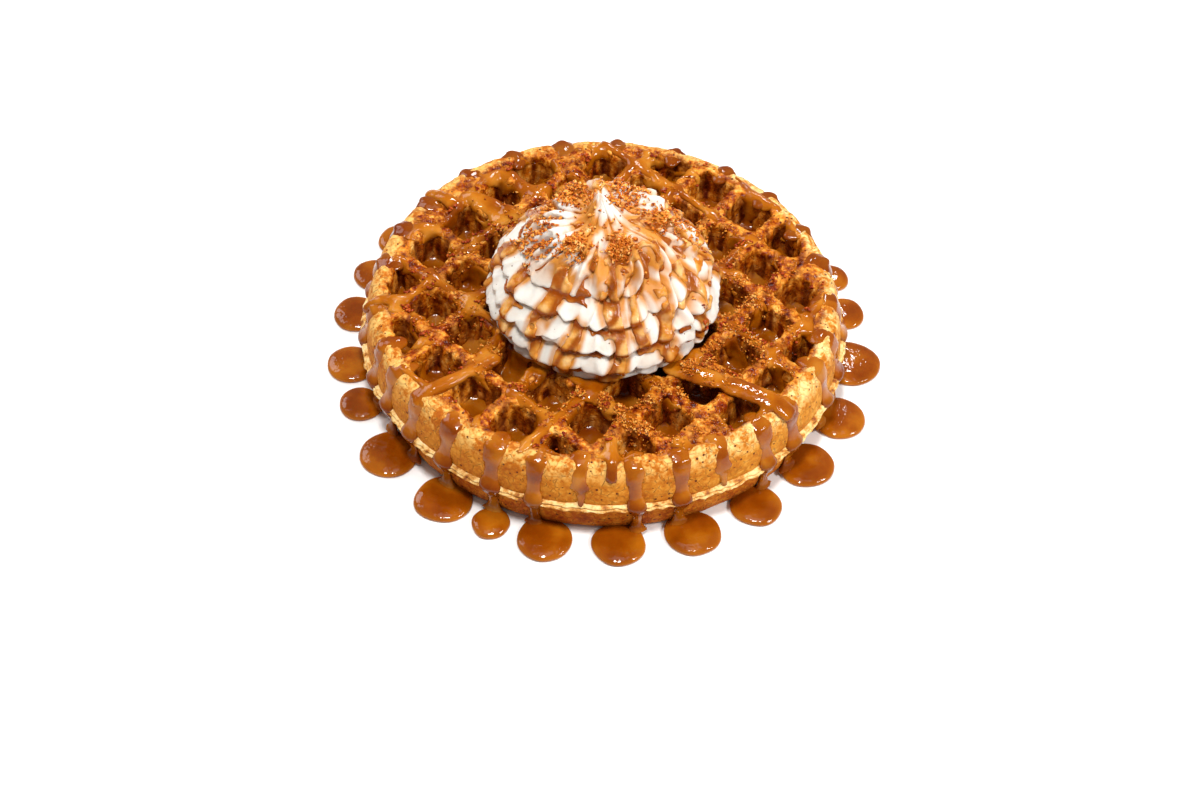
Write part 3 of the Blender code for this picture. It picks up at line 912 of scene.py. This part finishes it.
# It looks deeper in the pools, where it is thick, and in the corners, where it is thick and
# also painted darker as shade
thick_and_shaded_sauce = []
for vertex in sauce.data.vertices:
    pool = 0.40 * (1 - ease(20 * MM, 25 * MM, vertex.co.z))
    # In the corners this darkening is partly painted shade
    column_here = corner_closeness(vertex.co) * (1 - ease(30.5 * MM, 33 * MM, vertex.co.z))
    thick_and_shaded_sauce.append(min(1.0, pool + 0.85 * column_here))
mark(sauce, "pooled_and_shaded", thick_and_shaded_sauce)
finish(sauce, THIN_CARAMEL, "caramel_sauce", "waffle")

# %% [markdown]
# ## Runs down the wall
# A run starts as a sheet on the rim, thins on the wall, hangs as a bead on the seam and goes on to
# the puddle below as a narrow thread that spreads where it lands. Where no puddle lies below, it
# stops at the seam in a drop. One straight run is turned from a row of widths. Each copy is then
# wrapped down the wall.

# %% The straight run, along Z from the rim's inner side to the puddle
RUN_WIDTHS = [
    (0.0, 1.6), (0.05, 3.6), (0.12, 4.9), (0.20, 4.9), (0.30, 4.0), (0.42, 3.3), (0.52, 3.3),
    (0.58, 4.1), (0.63, 4.6), (0.68, 3.9), (0.74, 2.5), (0.86, 2.1), (0.94, 3.2), (1.0, 5.0),
]
straight_run = turned("straight_run", [(wide * MM, step) for step, wide in RUN_WIDTHS], 20)

# Where the run's middle lies: share of its length, radius and height, and its half thickness
WALL_WAY = [
    (0.00, 79.5, 31.6, 1.0), (0.10, 84.6, 33.5, 1.2), (0.20, 89.2, 32.0, 1.3),
    (0.30, 91.4, 28.5, 1.0), (0.45, 91.9, 22.5, 0.95), (0.57, 92.8, 18.5, 1.5),
    (0.64, 94.0, 15.6, 2.5), (0.70, 93.0, 13.0, 1.9), (0.80, 91.6, 8.5, 1.4),
    (0.92, 91.6, 3.6, 1.7), (1.00, 92.2, 1.2, 2.2),
]
WHOLE_WAY = 1.0


def way_at(share, reach):
    """Radius, height and half thickness of a run, which may stop at a share of the whole way."""
    return [between(WALL_WAY, 0, share * reach, column) * MM for column in (1, 2, 3)]


def wrapped_run(bearing, wide, reach, bend):
    """A copy of the straight run laid down the wall at a bearing. A short one ends narrow."""
    run = copy_of(straight_run)
    for vertex in run.data.vertices:
        share = vertex.co.z
        radius, height, half = way_at(share, reach)
        before, after = way_at(max(share - 0.02, 0), reach), way_at(min(share + 0.02, 1), reach)
        way = Vector((after[0] - before[0], after[1] - before[1])).normalized()
        taper = 1.0 if reach == WHOLE_WAY else 1 - 0.8 * ease(0.84, 1.0, share)
        across, out = vertex.co.x * wide * taper, vertex.co.y / (4.0 * MM) * half * taper
        turn = bearing + (across + bend * math.sin(share * 5)) / radius
        vertex.co = polar(radius - way.y * out, turn, height + way.x * out)
    return run


# %% The puddles, as the solids have them: bearing, distance and radius
PUDDLES = (
    (359, 99.0, 11.8), (15, 100.5, 8.4), (26.5, 103.5, 7.4), (42, 100.0, 8.4),
    (57, 98.5, 9.2), (72, 99.5, 8.0), (88, 98.0, 9.6), (103, 99.5, 8.4),
    (117, 98.5, 9.0), (131, 99.0, 8.2), (145.5, 104.5, 8.6), (158, 101.5, 8.8),
    (171, 100.5, 9.4), (187, 99.5, 9.5), (199.5, 98.5, 8.4), (216, 98.5, 11.4),
    (234, 97.8, 11.0), (246.5, 98.0, 7.3), (259, 98.4, 10.4), (275, 98.0, 10.2),
    (291.5, 97.8, 10.6), (308, 97.0, 9.8), (325, 97.0, 10.8), (341.5, 97.4, 10.6),
)

# %% Wrap the runs, and cap the rim with a drop over each on the sides and the back
FEEDS_WITHIN = 6.5  # degrees between a run and the puddle that it reaches
FIRST_CAP, LAST_CAP = 10, 205  # bearings in degrees
draw = random.Random(23)
runs = []
for bearing in RUN_BEARINGS:
    off = min(abs((bearing - row[0] + 180) % 360 - 180) for row in PUDDLES)
    reach = WHOLE_WAY if off < FEEDS_WITHIN else draw.uniform(0.59, 0.63)
    runs.append(wrapped_run(
        math.radians(bearing), draw.uniform(0.85, 1.12), reach, draw.uniform(-0.8, 0.8) * MM))
remove(straight_run)
for bearing in RUN_BEARINGS:
    if FIRST_CAP < bearing < LAST_CAP:
        high, wide = draw.uniform(1.5, 2.0) * MM, draw.uniform(3.0, 4.2) * MM
        turn = math.radians(bearing)
        runs.append(placed(DROP, polar(85.4 * MM, turn, 32.6 * MM), (6.4 * MM, wide, high), turn))
wall_sauce = join("caramel_runs", runs)
melt(wall_sauce, 0.7 * MM, 3)
push(wall_sauce, lambda place, normal: normal * bumps(place, 5) * 0.25 * MM)

# It looks deeper in the beads at the seam and on the rim. On the rim at the back it is darker
# still, which is painted shade
mark(wall_sauce, "pooled_and_shaded", [
    0.16 + 0.56 * (1 - ease(16 * MM, 20 * MM, vertex.co.z)) * ease(8 * MM, 12 * MM, vertex.co.z)
    # Painted shade: on the rim the back half, y above 0, is darker than the front
    + (0.50 if vertex.co.y > 0 else 0.15) * ease(29 * MM, 32 * MM, vertex.co.z)
    for vertex in wall_sauce.data.vertices])
finish(wall_sauce, RUN_CARAMEL, "caramel_sauce", "waffle")

# %% [markdown]
# ## Puddles
# A puddle is a low dome with a steep round edge, because the sauce is thick and holds together.
# One is turned, and each copy gets its own size and a slightly uneven outline.

# %% One puddle, with a radius and a height of 1
PUDDLE_HEIGHT = 2.6 * MM
puddle_shape = turned("puddle_shape", [
    (0.955, 0.0), (0.99, 0.12), (1.0, 0.28), (0.985, 0.45), (0.94, 0.62), (0.86, 0.77),
    (0.72, 0.89), (0.5, 0.97), (0.25, 1.0), (0.08, 1.0)], 48)
for number, (bearing, distance, radius) in enumerate(PUDDLES, start=1):
    centre = polar(distance * MM, math.radians(bearing))
    puddle = placed(puddle_shape, centre, (radius * MM, radius * MM, PUDDLE_HEIGHT))
    puddle.name = f"puddle_{number:02d}"
    for vertex in puddle.data.vertices:
        out = vertex.co - centre
        uneven = noise.noise(Vector((out.x, out.y, 0)).normalized() * 0.9 + Vector((number, 0, 0)))
        vertex.co.xy += out.xy * uneven * 0.09
    finish(puddle, CARAMEL, "caramel_sauce", f"caramel_puddle_{number:02d}")
remove(puddle_shape)

# %% [markdown]
# ## Whipped cream
# A star nozzle was wound round and round, each turn narrower and higher, and pulled up into a
# peak. From outside that reads as shelves that rise round the mound, and above them as flutes
# that run together at the tip. A cone is turned with a row every half millimetre, and closer ones
# where the crown turns in. A function of bearing and height pushes its points into shelves and
# flutes.

# %% The swirl's spine: turns, radius of the ridge and height above the waffle
CREAM_FOOT = Vector((*CREAM_CENTRE, 34.3 * MM))
SWIRL = (
    (-1.1, 41.5, -9.7), (0.0, 43.0, 0.0), (1.0, 45.5, 8.2), (2.0, 43.5, 16.4), (3.0, 38.0, 24.6),
    (4.0, 31.0, 32.0), (4.5, 26.5, 37.0), (4.8, 21.0, 39.6), (5.0, 13.5, 41.2),
    (5.7, 7.6, 43.6), (6.3, 4.8, 47.0), (6.7, 2.4, 49.8), (7.0, 0.4, 52.4),
)
SHELF_DEPTH = 6.0
FLUTE_DEPTH = 6.0
FLUTES = 24
FLUTE_TWIST = 0.20
FOLDS = 9
FOLD_TWIST = 0.30
PEAK_LEAN = (-3.0, 3.4)
LOWEST_FLUTES = math.radians(-12)  # the bearing where the flutes reach down the furthest


def shelf_groove(phase):
    """1 in the groove between two shelves and 0 at the lip of one."""
    if phase < 0.30:
        return (1 - phase / 0.30) ** 1.3
    return ((phase - 0.30) / 0.70) ** 2.0


def swirl_point(bearing, height):
    """The cream's surface, in millimetres, and how it is fluted and grooved there."""
    round_it = Vector((math.cos(bearing), math.sin(bearing), 0))
    wave = noise.noise(round_it * 2.6 + Vector((0, 0, height / 14)))
    wobble = noise.noise(round_it * 6.5 + Vector((5, 0, height / 9)))
    turn = between(SWIRL, 2, height, 0) + 0.26 * wave + 0.05 * wobble
    phase = (turn - bearing / math.tau) % 1.0
    radius = between(SWIRL, 2, height, 1)
    petals = max(0.0, math.cos(bearing - LOWEST_FLUTES)) ** 2
    fluted = ease(31, 37, height + 3.0 * wave + 20.0 * petals)
    small = ease(0, 16, radius)
    swing = bearing * FLUTES / 2 + 3.4 * wave + 1.2 * wobble - height * FLUTE_TWIST
    flute = abs(math.sin(swing)) ** 0.65
    fold = abs(math.sin(bearing * FOLDS / 2 + 1.5 * wave - height * FOLD_TWIST)) ** 0.7
    high = ease(39, 43, height)
    flute = flute * (1 - high) + fold * high
    strong = 0.55 + 0.9 * noise.noise(round_it * 5.0 + Vector((3, 0, height / 30)))

    # The spine's radius, less the depth of the flutes and of the grooves between the shelves
    groove = shelf_groove(phase)
    depth = min(0.34 * radius, FLUTE_DEPTH) * fluted * (1 - flute) * (0.55 + 0.55 * strong)
    reach = radius - depth
    reach -= SHELF_DEPTH * groove * (1 - 0.72 * fluted) * small * (0.8 + 0.5 * wobble)
    reach -= 2.4 * (1 - flute) * strong * (1 - 0.6 * groove) * (1 - fluted)
    at = round_it * radius + Vector((0, 0, height))
    ragged = noise.noise(at / 2.2) * 0.45 + noise.noise(at / 7.0) * (1.2 + 1.3 * fluted)
    reach = max(0.25, reach + ragged * small)

    # Lips sag, the crown is lumpy and the peak leans
    droop = 2.4 * (1 - groove) * flute * (1 - fluted) * ease(1, 5, height)
    crown = ease(31, 36, height) * (1 - ease(39.5, 42.5, height))
    lump = crown * (1.4 + 4.4 * noise.noise(round_it * 4.2 + Vector((0, 9, height / 8)))) * flute
    lean = ease(37, 54, height)
    flat = round_it * reach
    place = Vector((
        flat.x + PEAK_LEAN[0] * lean, flat.y + PEAK_LEAN[1] * lean, height - droop + lump))
    return place, flute, groove, fluted


# %% The mound
# Streaks of sauce: bearing in degrees, half width, lowest and highest point in millimetres
STREAKS = (
    (209, 3.4, 3, 31), (236, 3.6, -1, 36), (254, 3.4, -2, 27), (277, 3.8, -1, 38),
    (293, 2.2, 12, 34), (309, 3.6, 1, 33), (334, 3.0, 4, 36), (5, 3.4, -1, 32), (40, 3.2, 5, 36),
    (76, 3.6, -1, 33), (112, 3.0, 3, 36), (148, 3.6, -1, 34), (180, 3.2, 6, 37),
)
# Where the two clumps of sugar lie, from the cream's centre. Round them the cream is stained
# and painted in shadow
CLUMPS = (Vector((-11.5, -14.0)), Vector((6.0, -15.0)))
MOUND_TOP = 52.2
height = 0.0
mound_rows = [(40.0, height)]
while height < MOUND_TOP:
    height += 0.2 if 36.6 < height < 41.0 else 0.5
    mound_rows.append((max(1.0, 40.0 - height * 0.7), height))
cream = turned("cream_swirl", mound_rows, 400, MM)
print("mound", len(mound_rows), "rows of points")


def streaked(bearing, place, height):
    """How near a point is to the middle of a streak of sauce, from 0 to 1."""
    best = 0.0
    for number, (degrees, half, low, high) in enumerate(STREAKS):
        sway = 3.5 * math.sin(height / 6 + number * 1.7)
        away = (math.degrees(bearing) - degrees - sway + 180) % 360 - 180
        aside = abs(math.radians(away)) * place.xy.length
        half += 0.9 * math.sin(number * 2.3 + height / 4)
        ends = ease(low - 1, low + 2, height) * (1 - ease(high - 3, high + 1, height))
        best = max(best, (1 - ease(0.6 * half, 1.6 * half, aside)) * ends)
    return best


# %% Push its points, and mark where sauce lies on it and where it is stained, with painted shadow round the clumps
def nearest_clump(place):
    return min((place.xy - clump).length for clump in CLUMPS)


sauce_marks, stains_and_shadow = [], []
for vertex in cream.data.vertices:
    bearing = math.atan2(vertex.co.y, vertex.co.x)
    height = vertex.co.z / MM
    place, flute, groove, fluted = swirl_point(bearing, height)
    patch = noise.noise(place / 11.0 + Vector((7, 0, 0))) + 0.3 * noise.noise(place / 2.5)
    streak = streaked(bearing, place, height)
    to_clump = nearest_clump(place)
    back = noise.noise(place / 9.0 + Vector((0, 5, 0)))
    sauce_marks.append(float(
        streak > 0.78 - 0.4 * patch
        or (groove > 0.46 - 0.3 * patch and patch > -0.04 and 3 < height < 34)
        or (30 < height < 42 and flute < 0.62 + 0.4 * patch and patch > -0.20)
        or (height > 20 and to_clump < 6.0 + 8.0 * patch)
        or (31 < height < 40 and back + 0.25 * math.cos(bearing - 0.9) > 0.30)))

    # Amber under the streaks, in the grooves and flutes, over the crown, on the back, on the
    # crown's left side and round the clumps, where it is partly painted shadow
    uneven = 0.9 + 0.6 * noise.noise(place / 3.0)
    stains_and_shadow.append(min(
        1.0,
        0.95 * ease(0.0, 0.7, streak) * uneven
        + 0.8 * ease(0.4, 0.9, groove) * (0.5 + patch)
        + 0.15 * ease(0.05, 0.5, patch)
        + (1 - flute) * fluted * (1.3 + 1.4 * patch) * (1 - ease(42, 47, height))
        + ease(30, 37, height) * (0.20 + 0.7 * patch) * (1 - ease(43, 48, height))
        + 0.6 * ease(28, 36, height) * ease(-0.1, 0.3, back)
        + ease(0.1, 0.7, -math.cos(bearing)) * ease(33, 38, height)
        * (1 - ease(45, 49, height)) * (0.35 + 1.2 * patch)
        # Round the clumps: stain and painted shadow together
        + 0.8 * (1 - ease(4.0, 9.0, to_clump)) * ease(18, 22, height) * (0.6 + 1.2 * patch)))
    vertex.co = CREAM_FOOT + place * MM
mark(cream, "sauce", sauce_marks)
mark(cream, "stain_and_shadow", stains_and_shadow)
cream.data.update()
finish(cream, CREAM, "whipped_cream", "whipped_cream")

# %% [markdown]
# ## Sauce on the cream
# The same sauce, poured in streaks that run down over the shelves and settle in the grooves. It
# is a film of the cream's own faces, so it follows every fold, thickened and melted until its
# edges are round. It looks deeper in the grooves and in the flutes, and round the clumps of sugar,
# where the darkening is partly painted shadow.

# %% The film on the cream
cream_sauce = film("caramel_on_cream", cream, 1.9 * MM)
melt(cream_sauce, 0.62 * MM, 3)
pooled_and_shaded = []
for vertex in cream_sauce.data.vertices:
    place = (vertex.co - CREAM_FOOT) / MM
    height = min(52.0, max(-1.0, place.z))
    _, flute, groove, fluted = swirl_point(math.atan2(place.y, place.x), height)
    # Round the clumps the sauce is darker: pooled sauce and painted shadow
    sauce_and_shadow_by_clumps = ease(7.0, 3.0, nearest_clump(place)) * (0.7 + 0.9 * noise.noise(place / 3.0))
    pooled_and_shaded.append(min(1.0, max(ease(0.15, 0.65, groove) * (1 - fluted),
                               ease(0.9, 0.4, flute) * 0.9, sauce_and_shadow_by_clumps)))
mark(cream_sauce, "pooled_and_shaded", pooled_and_shaded)
finish(cream_sauce, PALE_CARAMEL, "caramel_sauce", "whipped_cream")

# %% [markdown]
# ## Brown sugar
# Granules lie where they fell: in drifts round the cream, on the ridges, and in two clumps on the
# swirl. There are rough little stones and curled shreds. Thousands of copies are dropped straight
# down onto what lies below them, each turned and sized at random from a fixed seed.


# %% Four stones and three shreds, as plain lists of points and faces
def as_lists(made, points):
    """Those points with the faces of a piece, which is then removed."""
    faces = [tuple(face.vertices) for face in made.data.polygons]
    remove(made)
    return points, faces


def granule_shape(seed):
    """A rough little stone."""
    made = primitive("stone", bpy.ops.mesh.primitive_ico_sphere_add, subdivisions=1, radius=1.0)
    shake = random.Random(seed)
    squash = Vector((1.2, shake.uniform(0.5, 0.8), shake.uniform(0.4, 0.7)))
    return as_lists(made, [
        vertex.co * squash * shake.uniform(0.55, 1.35) for vertex in made.data.vertices])


def shred_shape(curl):
    """A thin shred, bent to that many radians for each unit of its length."""
    made = turned("shred", [
        (0.10, -2.0), (0.32, -1.5), (0.36, -0.5), (0.36, 0.5), (0.30, 1.4), (0.08, 2.0)], 5)
    points = []
    for vertex in made.data.vertices:
        bend = vertex.co.z * curl
        points.append(Vector((vertex.co.x + math.cos(bend) / curl - 1 / curl, vertex.co.y,
                              math.sin(bend) / curl)))
    return as_lists(made, points)


STONES = [granule_shape(seed) for seed in range(4)]
SHREDS = [shred_shape(curl) for curl in (0.5, 0.9, 1.3)]
print("faces of a stone and of a shred", len(STONES[0][1]), len(SHREDS[0][1]))

# %% Drop the granules
graph = bpy.context.evaluated_depsgraph_get()
ground = [BVHTree.FromObject(piece, graph) for piece in (upper_half, sauce, cream, cream_sauce)]


def landing(x, y):
    """The highest surface under a point, with its normal."""
    best = None
    for surface in ground:
        hit, normal, _, _ = surface.ray_cast(Vector((x, y, 0.2)), Vector((0, 0, -1)))
        if hit and (best is None or hit.z > best[0].z):
            best = (hit, normal)
    return best


def sprinkle(name, places, shapes, smallest, largest, seed, lowest=26.0):
    """One mesh of all granules that land on these places above the lowest height."""
    shake = random.Random(seed)
    points, faces = [], []
    for x, y, pile in places:
        found = landing(x, y)
        if found is None or found[0].z < lowest * MM:
            continue
        spot, normal = found
        size = shake.uniform(smallest, largest) * MM
        turn = Matrix.Rotation(shake.uniform(0, math.tau), 3, "Z") @ Matrix.Rotation(
            shake.uniform(0, math.tau), 3, "X")
        shape_points, shape_faces = shapes[shake.randrange(len(shapes))]
        rest = spot + normal * (size * 0.45 + pile)
        first = len(points)
        points.extend(rest + turn @ (point * size) for point in shape_points)
        faces.extend(tuple(first + k for k in face) for face in shape_faces)
    mesh = bpy.data.meshes.new(name)
    mesh.from_pydata(points, [], faces)
    return linked(name, mesh)


def drift(centre, spread, count, shake, pile):
    """Places scattered round a centre and piled up, with all lengths given in millimetres."""
    return [
        (shake.gauss(centre[0], spread) * MM, shake.gauss(centre[1], spread) * MM,
         shake.random() * pile * MM)
        for _ in range(count)
    ]


# %% Sugar on the waffle: the middle of each drift, its spread and how many grains it has
CREAM_EDGE = 46.0 * MM
shake = random.Random(31)
waffle_places = []
for centre, spread, count in (
        ((-2, -54), 6, 1300), ((10, -60), 7, 1100), ((20, -70), 5, 400), ((36, -38), 7, 1100),
        ((50, -26), 7, 1100), ((56, -8), 7, 900), ((54, 14), 7, 600), ((40, 34), 8, 450),
        ((16, 48), 9, 250), ((-12, 52), 10, 250), ((-42, 40), 10, 200), ((-56, 10), 9, 260),
        ((-54, -16), 8, 260), ((-42, -38), 8, 220), ((-18, -58), 8, 260), ((30, -62), 8, 320)):
    waffle_places += drift(centre, spread, count, shake, 0.9)
waffle_places = [
    (x, y, pile) for x, y, pile in waffle_places
    if math.hypot(x, y) < 84 * MM and bumps(Vector((x, y, 0)), 6) > -0.05
    and math.hypot(x - CREAM_CENTRE.x, y - CREAM_CENTRE.y) > CREAM_EDGE]
finish(sprinkle("brown_sugar_on_waffle", waffle_places, STONES, 0.2, 0.6, 3), SUGAR)
finish(sprinkle("sugar_shreds_on_waffle", waffle_places[::3], SHREDS, 0.25, 0.5, 8),
       BRIGHT_SUGAR)

# %% Burnt bits along the edges of the ridges, a few together
BURNT_TRIES = 300
burnt_places = []
for _ in range(BURNT_TRIES):
    along, across = shake.choice(POCKETS)
    side, slide = shake.choice((-1, 1)) * 0.40, shake.uniform(-0.45, 0.45)
    step = (side, slide) if shake.random() < 0.5 else (slide, side)
    place = grid_place(along + step[0], across + step[1])
    patch = bumps(Vector((place.x, place.y, 0)), 8)
    clear = (place - CREAM_CENTRE).length > 44 * MM
    if place.length < 86 * MM and patch > 0.0 and clear:
        burnt_places += drift(place / MM, 0.8, shake.randint(3, 7), shake, 0.5)
finish(sprinkle("burnt_sugar_on_ridges", burnt_places, STONES, 0.4, 1.0, 12, lowest=25.0), BURNT)

# %% Sugar on the cream
cream_places = []
for centre, spread, count, pile in (
        ((-16, 10), 4, 190, 0.8), ((6, 8), 5, 160, 0.8), ((20, 0), 4, 130, 0.8),
        ((-26, -6), 4, 110, 0.4), ((0, -6), 13, 90, 0.2), ((8, 18), 8, 120, 0.6),
        ((28, 8), 5, 110, 0.5), ((-25, -13), 3, 90, 0.8)):
    cream_places += drift(centre, spread, count, shake, pile)
clumps = drift((-12, -18.5), 1.9, 300, shake, 1.8) + drift((5.5, -19.5), 2.1, 360, shake, 2.0)
finish(sprinkle("brown_sugar_on_cream", cream_places + clumps[::5], STONES, 0.3, 1.0, 4), SUGAR)
finish(sprinkle("sugar_shreds_on_cream", clumps + cream_places[::3], SHREDS, 0.5, 1.0, 6),
       BRIGHT_SUGAR)
remove(DROP, STRAND)

# %% [markdown]
# ## Floor, light and camera
# A pale floor and an even white world keep the food bright. The key comes from the right, wide
# weak lamps above and at the left back soften its shadows, and small lamps before and behind draw
# the short glints that make the sauce look wet. The camera looks down at the food as one does
# before eating it.

# %% The floor
floor = primitive("floor", bpy.ops.mesh.primitive_plane_add, (0, 0, -0.0002), size=6)
paint, _, _ = new_material("pale_matt_floor", Roughness=0.6, Base_Color=linear("#f4f3f1"))
floor.data.materials.append(paint)

# %% The lights: round lamps aimed at the food, with their place, width and watts
for name, place, size, power in (
        ("right_key", (0.85, -0.30, 0.85), 0.28, 9.2), ("overhead", (0.0, 0.05, 1.3), 0.6, 1.5),
        ("front_glint", (-0.05, -0.30, 1.1), 0.22, 10.2),
        ("back_glint", (0.10, 0.80, 0.85), 0.16, 3.5), ("left_back", (-0.7, 0.6, 0.7), 0.6, 4.0)):
    lamp = bpy.data.lights.new(name, "AREA")
    lamp.shape, lamp.size, lamp.energy = "DISK", size, power
    stand = linked(name, lamp)
    stand.location = place
    stand.rotation_euler = (-Vector(place)).to_track_quat("-Z", "Y").to_euler()
world = bpy.data.worlds.new("studio")
world.use_nodes = True
connect(world.node_tree.nodes["Background"], {"Color": "#ffffff", "Strength": 0.24})
bpy.context.scene.world = world
bpy.context.scene.view_settings.view_transform = "Standard"

# %% The camera
PITCH = math.radians(46.63)
ROLL = math.radians(2.11)
DISTANCE = 0.9162
FOCAL_PIXELS = 2300.0
PICTURE = (1200, 800)
AIM_PIXEL = (602.4, 352.6)
forward = Vector((0, math.cos(PITCH), -math.sin(PITCH)))
above = Vector((0, math.sin(PITCH), math.cos(PITCH)))
right = Vector((1, 0, 0)) * math.cos(ROLL) + above * math.sin(ROLL)
upright = above * math.cos(ROLL) - Vector((1, 0, 0)) * math.sin(ROLL)
lens = bpy.data.cameras.new("camera")
lens.sensor_width = 36.0
lens.lens = FOCAL_PIXELS / PICTURE[0] * lens.sensor_width
lens.shift_x = (PICTURE[0] / 2 - AIM_PIXEL[0]) / PICTURE[0]
lens.shift_y = (AIM_PIXEL[1] - PICTURE[1] / 2) / PICTURE[0]
camera = linked("camera", lens)
stand = Matrix((right, upright, -forward)).transposed().to_4x4()
stand.translation = -DISTANCE * forward
camera.matrix_world = stand
bpy.context.scene.camera = camera
print("lens", round(lens.lens, 1), "mm at", DISTANCE, "m")
